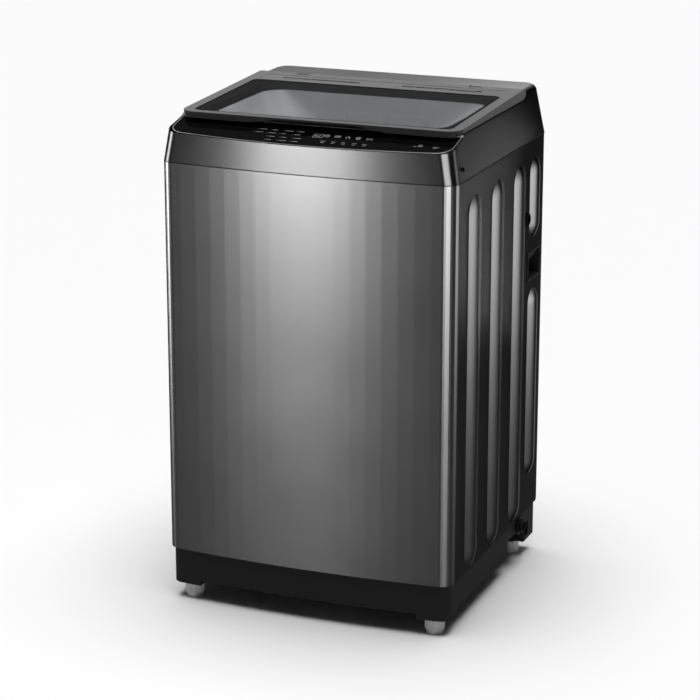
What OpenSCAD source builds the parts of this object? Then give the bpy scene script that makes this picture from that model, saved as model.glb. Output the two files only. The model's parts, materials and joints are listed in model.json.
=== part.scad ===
// Top load washing machine: steel cabinet with pressed side ribs, plastic base and top cover,
// slanted glass control panel, hinged glass lid, detergent drawer, hanging tub, spinning
// basket and pulsator, belt drive and levelling feet.
// Millimetres. X runs to the right, Y to the rear, Z up from the floor. The origin is on the
// floor, under the middle of the cabinet.

/* [Cabinet] */
// Width of the steel cabinet over its flat sides
body_w = 600; // [560:5:720]
// Depth of the cabinet at its middle
body_d = 560; // [540:5:680]
// Height of the seam between cabinet and top cover
seam_z = 895; // [840:5:1080]
// Height of the cabinet's bottom edge
skirt_z = 108; // [90:1:130]
// How far the front bows out in its middle
front_bow = 16; // [8:1:24]
// Radius of the front vertical corners
front_r = 28; // [20:1:40]
// Radius of the rear vertical corners
rear_r = 8; // [5:1:14]
// Thickness of the cabinet sheet
sheet_t = 1.2; // [0.8:0.1:2]
// Width of the folded flanges
flange_w = 18; // [12:1:25]

/* [Side ribs] */
// Width of the three long ribs
rib_w = 72; // [50:1:80]
// How far the ribs stand out
rib_h = 8; // [4:0.5:12]
// Width of the split rear rib
rear_rib_w = 62; // [40:1:66]

/* [Side fittings] */
// Length of the handle recess, front to rear
grip_l = 76; // [60:1:90]
// Height of the handle recess
grip_h = 56; // [40:1:70]
// Depth of the handle recess
grip_depth = 26; // [18:1:32]
// Radius of the plug ring on the side panel
side_plug_r = 13; // [8:0.5:14]

/* [Base and feet] */
// Height of the base's bottom edge
base_z = 44; // [36:1:52]
// How far the base is set in from the cabinet
base_inset = 6; // [3:0.5:10]
// Wall of the base moulding
base_t = 4; // [3:0.5:6]
// Radius of a foot's knob
foot_r = 19; // [15:0.5:24]
// Height of the foot with its rubber pad
foot_h = 28; // [24:1:30]
// Radius of the foot's stud
stud_r = 5; // [4:0.5:7]

/* [Top cover] */
// Height of the seat that the lid closes on
seat_z = 975; // [940:5:1180]
// Height of the rear deck
deck_z = 994; // [954:1:1199]
// How far each side leans in over the cover's height
cover_lean = 14; // [8:1:18]
// Wall of the top cover
cover_t = 3; // [2:0.5:4]
// Height of the control panel's front edge
panel_front_z = 949; // [925:1:1150]
// Slope of the control panel in degrees
panel_slope = 14; // [8:1:20]
// Thickness of the control panel glass
panel_t = 3; // [2:0.5:4]

/* [Loading opening] */
// Width of the opening under the lid
mouth_w = 480; // [400:5:500]
// Front edge of the opening, from the cabinet's middle
mouth_front = 165; // [140:1:175]
// Rear edge of the opening, from the cabinet's middle
mouth_rear = 128; // [110:1:135]

/* [Lid] */
// Thickness of the lid at its hinge
lid_t = 21; // [18:1:24]
// How far the lid's top falls towards the front, in degrees
lid_fall = 2; // [1:0.25:2.25]
// Distance from the cabinet's middle to the lid's front edge
lid_front = 206; // [198:1:212]
// Distance from the cabinet's middle to the hinge axis
hinge_y = 182; // [176:1:190]
// Thickness of the lid glass
glass_t = 4; // [3:0.5:5]
// Radius of the hinge pins
hinge_pin_r = 3; // [2:0.5:4]

/* [Detergent drawer] */
// Width of the drawer's front
drawer_w = 172; // [120:2:200]
// Height of the drawer's front
drawer_h = 37; // [28:1:44]
// Middle of the drawer, to the right of the cabinet's middle
drawer_x = 15; // [0:1:40]
// Length of the drawer's tray
drawer_l = 112; // [80:1:120]

/* [Tub and basket] */
// Outer radius of the tub
tub_r = 254; // [230:1:258]
// Height of the tub's floor
tub_z = 322; // [290:1:360]
// Wall of the tub
tub_t = 3.5; // [2.5:0.5:5]
// Outer radius of the basket
basket_r = 234; // [205:1:238]
// Thickness of the basket's steel
basket_t = 1; // [0.8:0.1:1.5]
// Inner radius of the balance ring
balance_r = 198; // [180:1:205]
// Radius of the pulsator
pulsator_r = 168; // [130:1:180]

/* [Drive] */
// Groove radius of the large pulley
drive_pulley_r = 74; // [55:1:85]
// Groove radius of the motor pulley
motor_pulley_r = 24; // [18:1:30]
// Distance between the motor and the basket axis
motor_offset = 150; // [135:1:165]

/* [Suspension] */
// Radius of the suspension rods
rod_r = 4; // [3:0.5:5]
// Distance of the rods from the middle plane, sideways
rod_x = 226; // [222:1:236]
// Distance of the rods from the middle plane, front to rear
rod_y = 208; // [204:1:216]

/* [Connections] */
// Radius over the thread of the water inlets
inlet_r = 13.2; // [12:0.1:14]
// Radius of the drain nozzle
drain_r = 14; // [11:0.5:16]
// Radius of the hole in the mains cord's gland
gland_r = 4; // [3:0.1:5]

/* [Fits] */
// Running clearance of a shaft in its hole
run_gap = 0.08; // [0.03:0.01:0.1]
// Clearance between pieces that pass each other
free_gap = 0.6; // [0.4:0.1:1]
// Gap shown between moulded covers
show_gap = 1; // [0.6:0.1:1.5]

/* [Hidden] */
$fn = 64;

eps = 0.01;
big = 1200;
arc_steps = 10;
bow_steps = 16;

// Colours
graphite = "#55575a";
dark_plastic = "#2c2c2e";
gloss_black = "#0b0b0c";
grey_plastic = "#c4c6c8";
zinc = "#a9adb0";
steel = "#c9cccf";
white_plastic = "#e4e5e3";
rubber_black = "#1c1c1c";

// Main planes
front_y = -body_d / 2;
rear_y = body_d / 2;
side_x = body_w / 2;
rear_panel_t = 1;
rear_set_in = 2;
panel_y1 = rear_y - rear_set_in;
wrap_rear_y = panel_y1 - rear_panel_t;
lid_gap = 1.5;
lid_z = seat_z + lid_gap;
lid_top_z = lid_z + lid_t;
hinge_z = lid_z + lid_t / 2;
lid_end_r = lid_t / 2;
pocket_r = lid_end_r + show_gap + 0.5;

// Points of an arc
function arc(cx, cy, r, a0, a1, n) =
  [for (i = [0:n]) let(a = a0 + (a1 - a0) * i / n) [cx + r * cos(a), cy + r * sin(a)]];

// Plan outline with a bowed front, rounded front corners and rounded rear corners
function plan(w, yf, yr, b, rf, rr) =
  let(
    rb = (w * w / 4 + b * b) / (2 * b),
    yb = yf + rb,
    cx = w / 2 - rf,
    cy = yb - sqrt((rb - rf) * (rb - rf) - cx * cx),
    t = atan2(cy - yb, cx)
  )
  concat(
    arc(w / 2 - rr, yr - rr, rr, 0, 90, arc_steps),
    arc(-w / 2 + rr, yr - rr, rr, 90, 180, arc_steps),
    arc(-cx, cy, rf, 180, 180 - t, arc_steps),
    arc(0, yb, rb, 180 - t + 0.4, 360 + t - 0.4, bow_steps),
    arc(cx, cy, rf, 360 + t, 360, arc_steps)
  );

// Plan outline of the body, set in by a distance
function body_plan(i, yr) =
  plan(body_w - 2 * i, front_y + i, yr - i, front_bow, max(front_r - i, 2), max(rear_r - i, 1));

// Outline of a rounded rectangle
function round_rect(x0, x1, y0, y1, r) =
  concat(
    arc(x1 - r, y1 - r, r, 0, 90, arc_steps),
    arc(x0 + r, y1 - r, r, 90, 180, arc_steps),
    arc(x0 + r, y0 + r, r, 180, 270, arc_steps),
    arc(x1 - r, y0 + r, r, 270, 360, arc_steps)
  );

module prism(points, z0, z1) {
  translate([0, 0, z0]) linear_extrude(z1 - z0) polygon(points);
}

module span(x0, x1, y0, y1, z0, z1) {
  translate([x0, y0, z0]) cube([x1 - x0, y1 - y0, z1 - z0]);
}

module tube(r_out, r_in, z0, z1) {
  difference() {
    translate([0, 0, z0]) cylinder(h = z1 - z0, r = r_out);
    translate([0, 0, z0 - 1]) cylinder(h = z1 - z0 + 2, r = r_in);
  }
}

module both_sides() {
  children();
  mirror([1, 0, 0]) children();
}

module four_corners(x, y) {
  for (sx = [-1, 1]) for (sy = [-1, 1]) translate([sx * x, sy * y, 0]) children();
}

/* Cabinet: one sheet folded round the front and both sides, with pressed ribs */
rib_low = skirt_z + 4;
rib_high = seam_z - 38;
rib_first_y = -body_d * 0.268;
rib_last_y = rear_y - rear_rib_w / 2 - 33;
long_rib_y = [for (i = [0:2]) rib_first_y + i * (rib_last_y - rear_rib_w / 2 - 66 - rib_first_y) / 2];
grip_y = rib_last_y + 3;
grip_z = seam_z - 260;
rib_gap = 30;
plug_y = (long_rib_y[2] + rib_w / 2 + rib_last_y - rear_rib_w / 2) / 2;
plug_z = grip_z + 102;
small_plug_r = 5;
small_plug_y = front_y + 66;
small_plug_z = seam_z + 22;

// Radius of a dome of a given width and height
function dome_r(w) = (w * w / 4 + rib_h * rib_h) / (2 * rib_h);

module rib_dome(y, w, z0, z1, shrink) {
  r = dome_r(w);
  translate([side_x + rib_h - r, y, 0]) {
    translate([0, 0, z0 + w / 2]) cylinder(h = z1 - z0 - w, r = r - shrink, $fn = 128);
    translate([0, 0, z0 + w / 2]) sphere(r = r - shrink, $fn = 128);
    translate([0, 0, z1 - w / 2]) sphere(r = r - shrink, $fn = 128);
  }
}

module side_ribs(shrink, x0) {
  intersection() {
    union() {
      for (y = long_rib_y) rib_dome(y, rib_w, rib_low, rib_high, shrink);
      rib_dome(rib_last_y, rear_rib_w, grip_z + grip_h / 2 + rib_gap, rib_high, shrink);
      rib_dome(rib_last_y, rear_rib_w, rib_low + 74, grip_z - grip_h / 2 - rib_gap + 8, shrink);
    }
    span(x0, side_x + 2 * rib_h, front_y + front_r, wrap_rear_y - rear_r, rib_low - 1, rib_high + 1);
  }
}

module grip_hole(gap, x0, x1) {
  span(x0, x1, grip_y - grip_l / 2 - gap, grip_y + grip_l / 2 + gap,
       grip_z - grip_h / 2 - gap, grip_z + grip_h / 2 + gap);
}

plug_shank_r = side_plug_r - 4;

module cabinet_shell() {
  color(graphite) difference() {
    union() {
      prism(body_plan(0, wrap_rear_y), skirt_z, seam_z);
      both_sides() side_ribs(0, side_x - sheet_t / 2);
    }
    prism(body_plan(sheet_t, wrap_rear_y), skirt_z + sheet_t, seam_z - sheet_t);
    prism(body_plan(flange_w, wrap_rear_y), skirt_z - 1, seam_z + 1);
    span(-side_x + flange_w, side_x - flange_w, wrap_rear_y - flange_w - 1, panel_y1 + 1,
         skirt_z - 1, seam_z + 1);
    both_sides() {
      side_ribs(sheet_t, side_x - 2 * sheet_t);
      grip_hole(0, side_x - 3 * sheet_t, side_x + rib_h + 1);
      translate([side_x - 2 * sheet_t, plug_y, plug_z]) rotate([0, 90, 0])
        cylinder(h = 4 * sheet_t, r = plug_shank_r + run_gap);
    }
    for (x = [-1, 1]) for (z = screw_rows)
      translate([x * screw_x, panel_y1 + 1, z]) rotate([90, 0, 0]) cylinder(h = 6, r = screw_hole_r);
  }
}

/* Rear panel with vent slots, the cord's gland and its screws */
rear_margin = 2;
screw_x = side_x - flange_w / 2 - 1;
screw_rows = [for (i = [0:5]) skirt_z + 30 + i * (seam_z - skirt_z - 60) / 5];
screw_r = 1.9;
screw_head_r = 4;
screw_hole_r = 2.2;
slot_w = 60;
slot_h = 5;
slot_pitch = 16;
slot_rows = 8;
slot_x = 150;
slot_z = seam_z - 260;
gland_x = side_x - 90;
gland_z = seam_z - 100;
gland_body_r = 8;
press_in = 4;
press_margin = 60;

module rear_panel() {
  color(graphite) difference() {
    union() {
      span(-side_x + rear_margin, side_x - rear_margin, wrap_rear_y, panel_y1,
           skirt_z + rear_margin, seam_z - rear_margin);
      span(-side_x + press_margin, side_x - press_margin, wrap_rear_y - press_in, wrap_rear_y,
           skirt_z + press_margin, slot_z - press_margin);
    }
    span(-side_x + press_margin + rear_panel_t, side_x - press_margin - rear_panel_t,
         wrap_rear_y - press_in + rear_panel_t, panel_y1 + 1,
         skirt_z + press_margin + rear_panel_t, slot_z - press_margin - rear_panel_t);
    for (sx = [-1, 1]) for (i = [0:slot_rows - 1])
      translate([sx * slot_x - slot_w / 2, wrap_rear_y - 1, slot_z + i * slot_pitch])
        cube([slot_w, 3, slot_h]);
    translate([gland_x, panel_y1 + 1, gland_z]) rotate([90, 0, 0])
      cylinder(h = 4, r = gland_body_r);
    for (x = [-1, 1]) for (z = screw_rows)
      translate([x * screw_x, panel_y1 + 1, z]) rotate([90, 0, 0]) cylinder(h = 6, r = screw_hole_r);
  }
}

module rear_panel_screws() {
  color(zinc) for (x = [-1, 1]) for (z = screw_rows)
    translate([x * screw_x, 0, z]) rotate([-90, 0, 0]) {
      translate([0, 0, panel_y1 - 7]) cylinder(h = 7, r = screw_r, $fn = 24);
      difference() {
        translate([0, 0, panel_y1]) cylinder(h = 1.6, r = screw_head_r, $fn = 32);
        translate([-3, -0.5, panel_y1 + 0.9]) cube([6, 1, 2]);
        translate([-0.5, -3, panel_y1 + 0.9]) cube([1, 6, 2]);
      }
    }
}

module cord_gland() {
  color(dark_plastic) translate([gland_x, 0, gland_z]) rotate([-90, 0, 0]) difference() {
    union() {
      translate([0, 0, wrap_rear_y - 10]) cylinder(h = 11, r = gland_body_r - run_gap);
      translate([0, 0, wrap_rear_y - 3]) cylinder(h = 3, r = gland_body_r + 3);
    }
    translate([0, 0, wrap_rear_y - 11]) cylinder(h = 14, r = gland_r);
  }
}

/* Base moulding with four corner pads that hold the feet */
pad_drop = 11;
pad_z = base_z - pad_drop;
pad_l = 70;
foot_x = side_x - 43;
foot_y = -front_y - 48;
rear_foot_y = rear_y - 48;
boss_r = 14;
boss_top_z = skirt_z - 30;
web_t = 4;
collar_r = 19;
drain_y = rear_y - 110;
drain_z = skirt_z - 24;
notch_l = 136;
notch_z = drain_z - 11;

module base_frame() {
  color(dark_plastic) difference() {
    union() {
      difference() {
        prism(body_plan(base_inset, rear_y), base_z, skirt_z);
        prism(body_plan(base_inset + base_t, rear_y), base_z - 1, skirt_z - base_t);
        prism(body_plan(base_inset + flange_w, rear_y), base_z - 1, skirt_z + 1);
      }
      // Corner pads, cut to the plan
      intersection() {
        prism(body_plan(base_inset, rear_y), pad_z, skirt_z);
        four_corners(side_x - pad_l / 2, rear_y - pad_l / 2)
          span(-pad_l / 2, pad_l / 2, -pad_l / 2, pad_l / 2, pad_z, base_z + web_t);
      }
      for (y = [-foot_y, rear_foot_y]) for (sx = [-1, 1])
        translate([sx * foot_x, y, 0]) translate([0, 0, pad_z + web_t])
          cylinder(h = boss_top_z - pad_z - web_t, r = boss_r);
    }
    for (y = [-foot_y, rear_foot_y]) for (sx = [-1, 1])
      translate([sx * foot_x, y, pad_z - 1]) cylinder(h = big, r = stud_r + free_gap / 2);
    // Raised bottom edge and hole for the drain outlet
    span(side_x - base_inset - 2 * base_t, side_x, drain_y - notch_l / 2, drain_y + notch_l / 2,
         base_z - 1, notch_z);
    translate([side_x - 40, drain_y, drain_z]) rotate([0, 90, 0])
      cylinder(h = 60, r = drain_r + 2 + run_gap);
  }
}

/* Levelling feet: a ribbed knob on a stud, over a rubber pad */
knob_ribs = 18;
rib_cut_r = 1.6;
pad_h = 7;
stud_top_z = boss_top_z + 12;

module foot() {
  color("#7d7f82") difference() {
    translate([0, 0, pad_h]) cylinder(h = foot_h - pad_h, r = foot_r);
    for (i = [0:knob_ribs - 1]) rotate(i * 360 / knob_ribs)
      translate([foot_r + 0.4, 0, pad_h + 3]) cylinder(h = foot_h, r = rib_cut_r, $fn = 24);
  }
  color(rubber_black) translate([0, 0, 0]) cylinder(h = pad_h, r = foot_r - 2);
  color(zinc) translate([0, 0, foot_h]) cylinder(h = stud_top_z - foot_h, r = stud_r);
}

module front_foot_left() { translate([-foot_x, -foot_y, 0]) foot(); }

module front_foot_right() { translate([foot_x, -foot_y, 0]) foot(); }

module rear_feet() { both_sides() translate([foot_x, rear_foot_y, 0]) foot(); }

module lock_nuts() {
  color(zinc) for (y = [-foot_y, rear_foot_y]) for (sx = [-1, 1]) translate([sx * foot_x, y, 0])
    difference() {
      translate([0, 0, foot_h]) cylinder(h = pad_z - foot_h, r = stud_r * 1.9, $fn = 6);
      translate([0, 0, foot_h - 1]) cylinder(h = 20, r = stud_r + free_gap / 2);
    }
}

/* Drain outlet at the right, low down, with the hose that feeds it */
module drain_outlet() {
  color(rubber_black) translate([0, drain_y, drain_z]) rotate([0, 90, 0]) difference() {
    union() {
      translate([0, 0, side_x - 66]) cylinder(h = 66 + rib_h - 2, r = drain_r);
      translate([0, 0, side_x - base_inset]) cylinder(h = 4, r = collar_r);
      translate([0, 0, side_x - base_inset - base_t - 3]) cylinder(h = 3, r = collar_r);
    }
    translate([0, 0, side_x - 67]) cylinder(h = 80, r = drain_r - 3);
  }
}

// The hose hangs from the drain valve's nozzle and runs to the outlet on one curve
valve_x = 110;
valve_y = drain_y - 50;
valve_h = 36;
valve_half = 22;
nozzle_l = 26;
hose_wall = 2.5;
hose_sides = 12;
hose_rings = 40;
hose_top = [valve_x, valve_y, tub_z - valve_h - 3];
hose_end = [side_x - 46, drain_y, drain_z];
hose_pull = [hose_top, [valve_x, valve_y, drain_z - 30], [valve_x + 10, drain_y, drain_z], hose_end];

function bezier(p, t) =
  pow(1 - t, 3) * p[0] + 3 * t * pow(1 - t, 2) * p[1] + 3 * t * t * (1 - t) * p[2] + pow(t, 3) * p[3];

function bezier_way(p, t) =
  let(d = pow(1 - t, 2) * (p[1] - p[0]) + 2 * t * (1 - t) * (p[2] - p[1]) + t * t * (p[3] - p[2]))
  d / norm(d);

module swept_hose(r, t0, t1) {
  side = [hose_end[1] - hose_top[1], hose_top[0] - hose_end[0], 0];
  across = side / norm(side);
  points = [
    for (i = [0:hose_rings])
      let(
        t = t0 + (t1 - t0) * i / hose_rings,
        c = bezier(hose_pull, t),
        w = bezier_way(hose_pull, t),
        u = cross(w, across) / norm(cross(w, across)),
        v = cross(w, u)
      )
      for (k = [0:hose_sides - 1]) c + r * (cos(k * 360 / hose_sides) * u + sin(k * 360 / hose_sides) * v)
  ];
  walls = [
    for (i = [0:hose_rings - 1]) for (k = [0:hose_sides - 1])
      let(a = i * hose_sides + k, b = i * hose_sides + (k + 1) % hose_sides)
      [a, a + hose_sides, b + hose_sides, b]
  ];
  ends = [
    [for (k = [0:hose_sides - 1]) k],
    [for (k = [hose_sides - 1:-1:0]) hose_rings * hose_sides + k]
  ];
  polyhedron(points, concat(walls, ends), convexity = 4);
}

module drain_hose() {
  color("#3a3b3d") difference() {
    swept_hose(drain_r + hose_wall + 1, 0, 1);
    swept_hose(drain_r + 1, -0.01, 1.01);
  }
}

/* Top cover: a hollow moulding with the control slope, the lid's seat and the rear deck */
seat_step = 3.8;
slope_front_y = front_y + 4;
slope_rise = seat_z - seat_step - panel_front_z;
slope_rear_y = slope_front_y + slope_rise / tan(panel_slope);
cover_front_lean = 6;
deck_round = 13;
deck_steps = 3;

module cover_blank(i, top) {
  hull() {
    prism(body_plan(i, rear_y), seam_z, seam_z + eps);
    for (step = [0:deck_steps]) {
      drop = deck_round * (1 - sin(90 * step / deck_steps));
      in = i + deck_round * (1 - cos(90 * step / deck_steps));
      prism(plan(body_w - 2 * cover_lean - 2 * in, front_y + cover_front_lean + i,
                 rear_y - cover_front_lean - i, front_bow, front_r - i, rear_r + 8 - i),
            top - drop - eps, top - drop);
    }
  }
}

module above_slope(drop) {
  translate([0, slope_front_y, panel_front_z - drop]) rotate([panel_slope, 0, 0])
    translate([-side_x - 10, -60, 0]) cube([body_w + 20, 60 + body_d, 300]);
}

module cover_cuts(drop) {
  intersection() {
    above_slope(drop);
    span(-side_x - 10, side_x + 10, front_y - 60, slope_rear_y + drop, seam_z, seam_z + big);
  }
  span(-side_x - 10, side_x + 10, slope_rear_y + drop - 1, hinge_y, seat_z - drop, seam_z + big);
  translate([-side_x - 10, hinge_y, hinge_z]) rotate([0, 90, 0])
    cylinder(h = body_w + 20, r = pocket_r + drop, $fn = 96);
}

lip_z = seat_z - 6;
mouth_r = 46;
window_x0 = -side_x + 70;
window_x1 = -side_x + 210;
window_z0 = seam_z + 14;
window_z1 = seam_z + 66;

module mouth(gap, z0, z1) {
  prism(round_rect(-mouth_w / 2 - gap, mouth_w / 2 + gap, -mouth_front - gap, mouth_rear + gap,
                   mouth_r + gap), z0, z1);
}

module panel_recess(i, drop) {
  intersection() {
    prism(plan(body_w - 2 * cover_lean - 2 * i, slope_front_y + i + 2, rear_y, front_bow,
               front_r - i + 4, rear_r), seam_z, big);
    intersection() {
      above_slope(drop);
      span(-side_x, side_x, front_y, slope_rear_y - show_gap, seam_z, big);
    }
  }
}

trim_w = 2;
panel_inset = 1;

module top_cover() {
  color(graphite) difference() {
    union() {
      difference() {
        cover_blank(0, deck_z);
        cover_cuts(0);
        difference() {
          translate([0, 0, -eps * 2]) cover_blank(cover_t, deck_z - cover_t);
          cover_cuts(panel_t + cover_t);
        }
      }
      difference() {
        mouth(cover_t, lip_z, seat_z);
        mouth(0, lip_z - 1, seat_z + 1);
      }
    }
    mouth(0, seam_z, seat_z + 1);
    panel_recess(panel_inset, panel_t);
    span(window_x0, window_x1, rear_y - 20, rear_y + 5, window_z0, window_z1);
    both_sides() translate([side_x - 15, small_plug_y, small_plug_z]) rotate([0, 90, 0])
      cylinder(h = 30, r = small_plug_r - 1);
    both_sides() hinge_leg(free_gap, seat_z - 10, seat_z + 2);
  }
}

module control_panel_glass() {
  color(gloss_black) difference() {
    panel_recess(panel_inset + trim_w + free_gap / 3, panel_t);
    above_slope(0);
  }
}

module control_panel_trim() {
  color("#6d6f72") difference() {
    panel_recess(panel_inset + free_gap / 3, panel_t);
    above_slope(0);
    panel_recess(panel_inset + trim_w, panel_t + 1);
  }
}

case_x = 170;
case_y0 = front_y + 22;
case_y1 = -mouth_front - 17;
case_z0 = seam_z + 17;
case_z1 = panel_front_z - 9;
case_t = 2;
board_t = 1.6;

module control_board_case() {
  color(white_plastic) difference() {
    span(-case_x, case_x, case_y0, case_y1, case_z0, case_z1);
    span(-case_x + case_t, case_x - case_t, case_y0 + case_t, case_y1 - case_t, case_z0 + case_t, case_z1 + 1);
  }
}

module control_board() {
  color("#2f6b45") {
    span(-case_x + case_t, case_x - case_t, case_y0 + case_t, case_y1 - case_t,
         case_z1 - 8, case_z1 - 8 + board_t);
    for (x = [-120, -60, 10, 90])
      span(x, x + 26, case_y0 + 12, case_y0 + 32, case_z1 - 22, case_z1 - 8);
  }
}

module cover_plugs() {
  color(graphite) both_sides() translate([0, small_plug_y, small_plug_z]) rotate([0, 90, 0]) {
    translate([0, 0, side_x - 9]) cylinder(h = 8.5, r = small_plug_r - 1 - run_gap);
  }
}

/* Light moulding that lines the loading opening */
mouth_t = 2.5;
mouth_low_z = seam_z - 11;
mouth_low_x = mouth_w / 2 - 32;
mouth_low_r = 125;

module mouth_body(i) {
  hull() {
    prism(round_rect(-mouth_w / 2 + i, mouth_w / 2 - i, -mouth_front + i, mouth_rear - i, mouth_r - i),
          lip_z - eps, lip_z);
    prism(round_rect(-mouth_low_x + i, mouth_low_x - i, -mouth_front + i, mouth_rear - i, mouth_low_r - i),
          mouth_low_z, mouth_low_z + eps);
  }
}

drawer_z0 = seam_z + 2;
drawer_gap = 0.8;

module mouth_moulding() {
  color(grey_plastic) difference() {
    union() {
      mouth_body(0);
      mouth(cover_t, lip_z - mouth_t, lip_z);
    }
    intersection() {
      mouth_body(mouth_t);
      span(-body_w, body_w, -body_d, body_d, mouth_low_z - 1, lip_z - 2 * eps);
    }
    prism(round_rect(-mouth_w / 2 + mouth_t, mouth_w / 2 - mouth_t, -mouth_front + mouth_t,
                     mouth_rear - mouth_t, mouth_r - mouth_t), lip_z - eps * 3, lip_z + 1);
    prism(round_rect(-mouth_low_x + mouth_t, mouth_low_x - mouth_t, -mouth_front + mouth_t,
                     mouth_rear - mouth_t, mouth_low_r - mouth_t), mouth_low_z - 1, mouth_low_z + eps * 3);
    span(drawer_x - drawer_w / 2, drawer_x + drawer_w / 2, mouth_rear - 10, mouth_rear + 10,
         drawer_z0, drawer_z0 + drawer_h);
  }
}

/* Lid: solid frame, glass in a rebate, grille in the rear bar */
lid_half = side_x - cover_lean - 1;
lid_corner_r = 28;
glass_half = lid_half - 22;
glass_y0 = -lid_front + 17;
glass_y1 = hinge_y - 78;
glass_r = 14;
ledge = 8;
grille_y0 = glass_y1 + 8;
grille_y1 = hinge_y - 26;
grille_half = glass_half - 6;
grille_t = 3;
lip_drop = 5;
scoop_half = 110;
scoop_slope = 30;
scoop_rise = 4;
block_x = 186;
block_w = 26;
leg_half = 4;
knuckle_r = lid_end_r - 1;

module hinge_leg(gap, z0, z1) {
  span(block_x - block_w / 2 - gap, block_x + block_w / 2 + gap, hinge_y - leg_half - gap,
       hinge_y + leg_half + gap, z0, z1);
}

module across_x(x0, x1, y, z, r) {
  translate([x0, y, z]) rotate([0, 90, 0]) cylinder(h = x1 - x0, r = r);
}

// Leans what is on the lid's top to the fall of the lid, about its edge over the hinge
module on_fall() {
  translate([0, hinge_y, lid_top_z]) rotate([lid_fall, 0, 0]) translate([0, -hinge_y, -lid_top_z])
    children();
}

module lid_blank() {
  intersection() {
    union() {
      prism(round_rect(-lid_half, lid_half, -lid_front, hinge_y - 10, lid_corner_r), lid_z, lid_top_z);
      span(-lid_half, lid_half, 0, hinge_y, lid_z, lid_top_z);
    }
    on_fall() span(-side_x, side_x, -body_d, hinge_y, lid_top_z - big, lid_top_z);
  }
  across_x(-lid_half, lid_half, hinge_y, hinge_z, lid_end_r);
  // Lip along the front edge, left out in the middle where the fingers reach under
  intersection() {
    prism(round_rect(-lid_half, lid_half, -lid_front, hinge_y - 10, lid_corner_r),
          lid_z - lip_drop, lid_z);
    both_sides() translate([0, -lid_front + 8, 0]) rotate([90, 0, 0])
      prism([[scoop_half, lid_z], [scoop_half + scoop_slope, lid_z - lip_drop],
             [side_x, lid_z - lip_drop], [side_x, lid_z]], 0, 10);
  }
}

module lid_frame() {
  color("#333436") difference() {
    lid_blank();
    on_fall() prism(round_rect(-glass_half, glass_half, glass_y0, glass_y1, glass_r),
                    lid_top_z - glass_t - 0.4, lid_top_z + 1);
    prism(round_rect(-glass_half + ledge, glass_half - ledge, glass_y0 + ledge, glass_y1 - ledge, glass_r - 4),
          lid_z - 1, lid_top_z + 1);
    on_fall() span(-grille_half, grille_half, grille_y0, grille_y1, lid_top_z - grille_t, lid_top_z + 1);
    span(-grille_half + ledge / 2, grille_half - ledge / 2, grille_y0 + ledge / 2, grille_y1 - ledge / 2,
         lid_z - 1, lid_top_z);
    // Finger scoop in the front edge
    translate([0, -lid_front + 12, 0]) rotate([90, 0, 0])
      prism([[-scoop_half, lid_z - 1], [-scoop_half + scoop_slope, lid_z + scoop_rise],
             [scoop_half - scoop_slope, lid_z + scoop_rise], [scoop_half, lid_z - 1]], 0, 20);
    both_sides() {
      across_x(block_x - block_w / 2 - free_gap, block_x + block_w / 2 + free_gap, hinge_y, hinge_z,
               pocket_r);
      span(block_x - block_w / 2 - free_gap, block_x + block_w / 2 + free_gap, hinge_y - knuckle_r - 2,
           hinge_y + lid_end_r + 1, lid_z - 1, lid_top_z + 1);
      across_x(block_x - block_w / 2 - pin_reach - 1, block_x + block_w / 2 + pin_reach + 1, hinge_y,
               hinge_z, hinge_pin_r + run_gap);
    }
  }
}

pin_reach = 12;

module lid_glass() {
  color("#8f979c", 0.35) on_fall()
    prism(round_rect(-glass_half + 0.5, glass_half - 0.5, glass_y0 + 0.5, glass_y1 - 0.5, glass_r - 0.5),
          lid_top_z - glass_t - 0.4, lid_top_z - 0.4);
}

vent_count = 28;
vent_pitch = 6;
vent_w = 3.6;
vent_l = 9;
vent_x0 = 46;

module lid_rear_grille() {
  color("#333436") on_fall() difference() {
    span(-grille_half + 0.3, grille_half - 0.3, grille_y0 + 0.3, grille_y1 - 0.3,
         lid_top_z - grille_t, lid_top_z - 0.3);
    both_sides() for (i = [0:vent_count - 1])
      translate([vent_x0 + i * vent_pitch, (grille_y0 + grille_y1) / 2 - vent_l / 2, lid_top_z - 5])
        cube([vent_w, vent_l, 10]);
  }
}

bumper_r = 6;

module lid_bumpers() {
  color(rubber_black) for (y = [-mouth_front + 20, mouth_rear - 50]) for (sx = [-1, 1])
    translate([sx * (mouth_w / 2 + 24), y, seat_z]) cylinder(h = lid_gap, r = bumper_r);
}

module lid_lock() {
  color(dark_plastic) span(mouth_w / 2 + 8, lid_half - 8, -mouth_front - 6, -mouth_front + 44,
                           seat_z - cover_t - panel_t - 30, seat_z - cover_t - panel_t);
}

module hinge_blocks() {
  color(dark_plastic) both_sides() difference() {
    union() {
      across_x(block_x - block_w / 2, block_x + block_w / 2, hinge_y, hinge_z, knuckle_r);
      hinge_leg(0, seat_z - 14, hinge_z);
      span(block_x - block_w / 2 - 8, block_x + block_w / 2 + 8, hinge_y - 12, hinge_y + 12,
           seat_z - 18, seat_z - 14);
    }
    across_x(block_x - block_w, block_x + block_w, hinge_y, hinge_z, hinge_pin_r);
  }
}

module hinge_pins() {
  color(zinc) both_sides()
    across_x(block_x - block_w / 2 - pin_reach, block_x + block_w / 2 + pin_reach, hinge_y, hinge_z,
             hinge_pin_r);
}

/* Detergent drawer in the rear wall of the opening */
housing_t = 2.5;
tray_t = 2;
drawer_y = mouth_rear;
drawer_x0 = drawer_x - drawer_w / 2;
drawer_x1 = drawer_x + drawer_w / 2;
drawer_z1 = drawer_z0 + drawer_h;

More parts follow.
